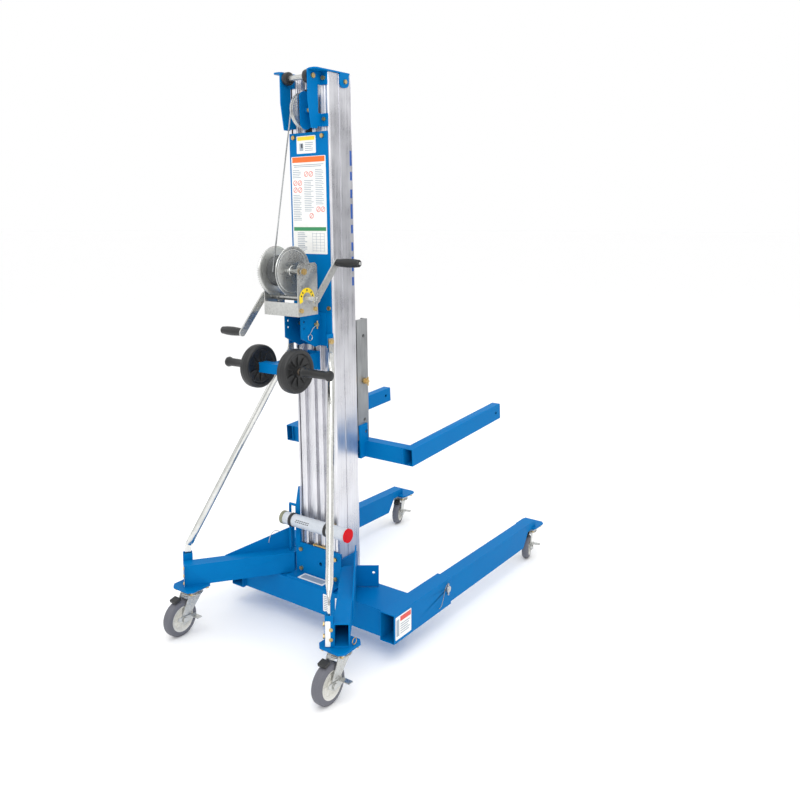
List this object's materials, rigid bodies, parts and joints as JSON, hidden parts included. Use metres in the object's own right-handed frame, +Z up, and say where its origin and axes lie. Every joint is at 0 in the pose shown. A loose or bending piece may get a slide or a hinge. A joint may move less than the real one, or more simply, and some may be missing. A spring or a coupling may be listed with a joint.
{
  "type": "hand-winch material lift",
  "caption": "Upright hand-winch lift: straddle base on swivel casters, telescoping mast and a carriage with two forks that a cable raises.",
  "frame": {"origin": "on the floor, in the middle of the footprint", "axes": "+X to the operator's right, +Y from the winch towards the forks, +Z up"},
  "size_m": [0.8204, 1.49, 1.9906],
  "materials": {
    "blue_paint": "smooth powder coat",
    "mast_aluminium": "bright drawn extrusion",
    "carriage_metal": "dull grey",
    "zinc_plate": "bright zinc plate",
    "yellow_zinc": "yellow zinc plate",
    "steel_cable": "stranded galvanised wire",
    "black_plastic": "moulded, satin",
    "grey_tyre": "grey non-marking tread",
    "white_tube": "satin",
    "red_cap": "satin"
  },
  "bodies": {
    "base": {"cross_beam": "blue_paint", "right_leg_socket": "blue_paint", "left_leg_socket": "blue_paint", "right_front_leg": "blue_paint", "left_front_leg": "blue_paint", "right_rear_leg": "blue_paint", "left_rear_leg": "blue_paint", "brace_feet": "blue_paint", "mast_foot": "blue_paint", "outer_mast": "mast_aluminium", "back_plate": "blue_paint", "top_brackets": "blue_paint", "winch_bracket": "blue_paint", "winch_frame": "zinc_plate", "braces": "zinc_plate", "caster_mounts": "zinc_plate", "manual_tube": "white_tube", "loading_carrier": "blue_paint", "loading_axle": "zinc_plate", "fixings": "yellow_zinc", "lift_cable": "steel_cable", "leg_lanyard": "steel_cable", "gusset_lanyard": "steel_cable"},
    "inner_mast": {"inner_mast": "mast_aluminium", "carriage_cable": "steel_cable", "mast_cable": "steel_cable"},
    "head_sheave": {"head_sheave": "zinc_plate"},
    "foot_sheave": {"foot_sheave": "zinc_plate"},
    "mast_sheave": {"mast_sheave": "zinc_plate"},
    "carriage": {"carriage": "carriage_metal", "carriage_uprights": "carriage_metal", "fork_crossbar": "blue_paint", "right_fork": "blue_paint", "left_fork": "blue_paint"},
    "fork_pin": {"fork_pin": "yellow_zinc"},
    "winch_drum": {"winch_drum": "zinc_plate", "drum_gear": "zinc_plate", "cable_winding": "steel_cable"},
    "crankshaft": {"crankshaft": "zinc_plate", "right_crank": "zinc_plate", "left_crank": "zinc_plate"},
    "right_crank_grip": {"right_crank_grip": "black_plastic"},
    "left_crank_grip": {"left_crank_grip": "black_plastic"},
    "top_roller": {"top_roller": "black_plastic"},
    "right_loading_wheel": {"right_loading_wheel": "black_plastic"},
    "left_loading_wheel": {"left_loading_wheel": "black_plastic"},
    "manual_tube_cap": {"manual_tube_cap": "red_cap"},
    "right_leg_pin": {"right_leg_pin": "zinc_plate"},
    "left_leg_pin": {"left_leg_pin": "zinc_plate"},
    "rear_right_fork": {"rear_right_fork": "zinc_plate"},
    "rear_right_wheel": {"rear_right_wheel": "grey_tyre"},
    "rear_right_brake": {"rear_right_brake": "zinc_plate"},
    "rear_left_fork": {"rear_left_fork": "zinc_plate"},
    "rear_left_wheel": {"rear_left_wheel": "grey_tyre"},
    "rear_left_brake": {"rear_left_brake": "zinc_plate"},
    "front_right_fork": {"front_right_fork": "zinc_plate"},
    "front_right_wheel": {"front_right_wheel": "grey_tyre"},
    "front_right_brake": {"front_right_brake": "zinc_plate"},
    "front_left_fork": {"front_left_fork": "zinc_plate"},
    "front_left_wheel": {"front_left_wheel": "grey_tyre"},
    "front_left_brake": {"front_left_brake": "zinc_plate"}
  },
  "joints": [
    {"name": "inner_mast_slide", "type": "slide", "parent": "base", "child": "inner_mast", "axis": [0, -0.0209, 0.9998], "range_m": [0, 1.45], "deforming": ["mast_cable"]},
    {"name": "carriage_slide", "type": "slide", "parent": "inner_mast", "child": "carriage", "axis": [0, -0.0209, 0.9998], "range_m": [-0.46, 0.75], "deforming": ["carriage_cable"]},
    {"name": "drum_spin", "type": "hinge", "parent": "base", "child": "winch_drum", "pos_m": [0, -0.48203, 1.31382], "axis": [1, 0, 0], "range_deg": [-490.5, 795.9]},
    {"name": "crank_spin", "type": "hinge", "parent": "base", "child": "crankshaft", "pos_m": [0, -0.4581, 1.22188], "axis": [1, 0, 0], "range_deg": [-4218.9, 2589.9]},
    {"name": "mast_sheave_spin", "type": "hinge", "parent": "base", "child": "mast_sheave", "pos_m": [0, -0.37839, 1.85711], "axis": [1, 0, 0], "range_deg": [-440.9, 715.1]},
    {"name": "head_sheave_spin", "type": "hinge", "parent": "inner_mast", "child": "head_sheave", "pos_m": [0, -0.29075, 1.92296], "axis": [1, 0, 0], "range_deg": [-960.9, 1563]},
    {"name": "foot_sheave_spin", "type": "hinge", "parent": "inner_mast", "child": "foot_sheave", "pos_m": [0, -0.25573, 0.25132], "axis": [1, 0, 0], "range_deg": [-1563, 960.9]},
    {"name": "right_grip_spin", "type": "hinge", "parent": "crankshaft", "child": "right_crank_grip", "pos_m": [0.175, -0.35448, 1.33983], "axis": [1, 0, 0], "continuous": true},
    {"name": "left_grip_spin", "type": "hinge", "parent": "crankshaft", "child": "left_crank_grip", "pos_m": [-0.175, -0.56172, 1.10393], "axis": [1, 0, 0], "continuous": true},
    {"name": "top_roller_spin", "type": "hinge", "parent": "base", "child": "top_roller", "pos_m": [0, -0.40364, 1.9646], "axis": [1, 0, 0], "continuous": true},
    {"name": "right_loading_wheel_spin", "type": "hinge", "parent": "base", "child": "right_loading_wheel", "pos_m": [0.086, -0.52517, 0.98584], "axis": [1, 0, 0], "continuous": true},
    {"name": "left_loading_wheel_spin", "type": "hinge", "parent": "base", "child": "left_loading_wheel", "pos_m": [-0.086, -0.52517, 0.98584], "axis": [1, 0, 0], "continuous": true},
    {"name": "manual_cap_pull", "type": "slide", "parent": "base", "child": "manual_tube_cap", "axis": [1, 0, 0], "range_m": [0, 0.03]},
    {"name": "fork_pin_pull", "type": "slide", "parent": "carriage", "child": "fork_pin", "axis": [1, 0, 0], "range_m": [0, 0.05]},
    {"name": "right_leg_pin_pull", "type": "slide", "parent": "base", "child": "right_leg_pin", "axis": [1, 0, 0], "range_m": [0, 0.095]},
    {"name": "left_leg_pin_pull", "type": "slide", "parent": "base", "child": "left_leg_pin", "axis": [-1, 0, 0], "range_m": [0, 0.095]},
    {"name": "rear_right_swivel", "type": "hinge", "parent": "base", "child": "rear_right_fork", "pos_m": [0.35, -0.622, 0.065], "axis": [0, 0, 1], "continuous": true},
    {"name": "rear_right_roll", "type": "hinge", "parent": "rear_right_fork", "child": "rear_right_wheel", "pos_m": [0.35, -0.68, 0.065], "axis": [1, 0, 0], "continuous": true},
    {"name": "rear_right_brake_press", "type": "hinge", "parent": "rear_right_fork", "child": "rear_right_brake", "pos_m": [0.35, -0.68, 0.065], "axis": [1, 0, 0], "range_deg": [-10, 0]},
    {"name": "rear_left_swivel", "type": "hinge", "parent": "base", "child": "rear_left_fork", "pos_m": [-0.35, -0.622, 0.065], "axis": [0, 0, 1], "continuous": true},
    {"name": "rear_left_roll", "type": "hinge", "parent": "rear_left_fork", "child": "rear_left_wheel", "pos_m": [-0.35, -0.68, 0.065], "axis": [1, 0, 0], "continuous": true},
    {"name": "rear_left_brake_press", "type": "hinge", "parent": "rear_left_fork", "child": "rear_left_brake", "pos_m": [-0.35, -0.68, 0.065], "axis": [1, 0, 0], "range_deg": [-10, 0]},
    {"name": "front_right_swivel", "type": "hinge", "parent": "base", "child": "front_right_fork", "pos_m": [0.352, 0.683, 0.051], "axis": [0, 0, 1], "continuous": true},
    {"name": "front_right_roll", "type": "hinge", "parent": "front_right_fork", "child": "front_right_wheel", "pos_m": [0.36252, 0.64857, 0.051], "axis": [0.9563, 0.2924, 0], "continuous": true},
    {"name": "front_right_brake_press", "type": "hinge", "parent": "front_right_fork", "child": "front_right_brake", "pos_m": [0.36252, 0.64857, 0.051], "axis": [0.9563, 0.2924, 0], "range_deg": [-10, 0]},
    {"name": "front_left_swivel", "type": "hinge", "parent": "base", "child": "front_left_fork", "pos_m": [-0.352, 0.683, 0.051], "axis": [0, 0, 1], "continuous": true},
    {"name": "front_left_roll", "type": "hinge", "parent": "front_left_fork", "child": "front_left_wheel", "pos_m": [-0.34147, 0.64857, 0.051], "axis": [0.9563, 0.2924, 0], "continuous": true},
    {"name": "front_left_brake_press", "type": "hinge", "parent": "front_left_fork", "child": "front_left_brake", "pos_m": [-0.34147, 0.64857, 0.051], "axis": [0.9563, 0.2924, 0], "range_deg": [-10, 0]}
  ],
  "couplings": [
    {"joint": "drum_spin", "follows": "carriage_slide", "rad_per_m": 18.382},
    {"joint": "mast_sheave_spin", "follows": "carriage_slide", "rad_per_m": 16.502},
    {"joint": "head_sheave_spin", "follows": "carriage_slide", "rad_per_m": 36.232},
    {"joint": "foot_sheave_spin", "follows": "carriage_slide", "rad_per_m": -36.232},
    {"joint": "crank_spin", "follows": "carriage_slide", "rad_per_m": -98.04}
  ]
}
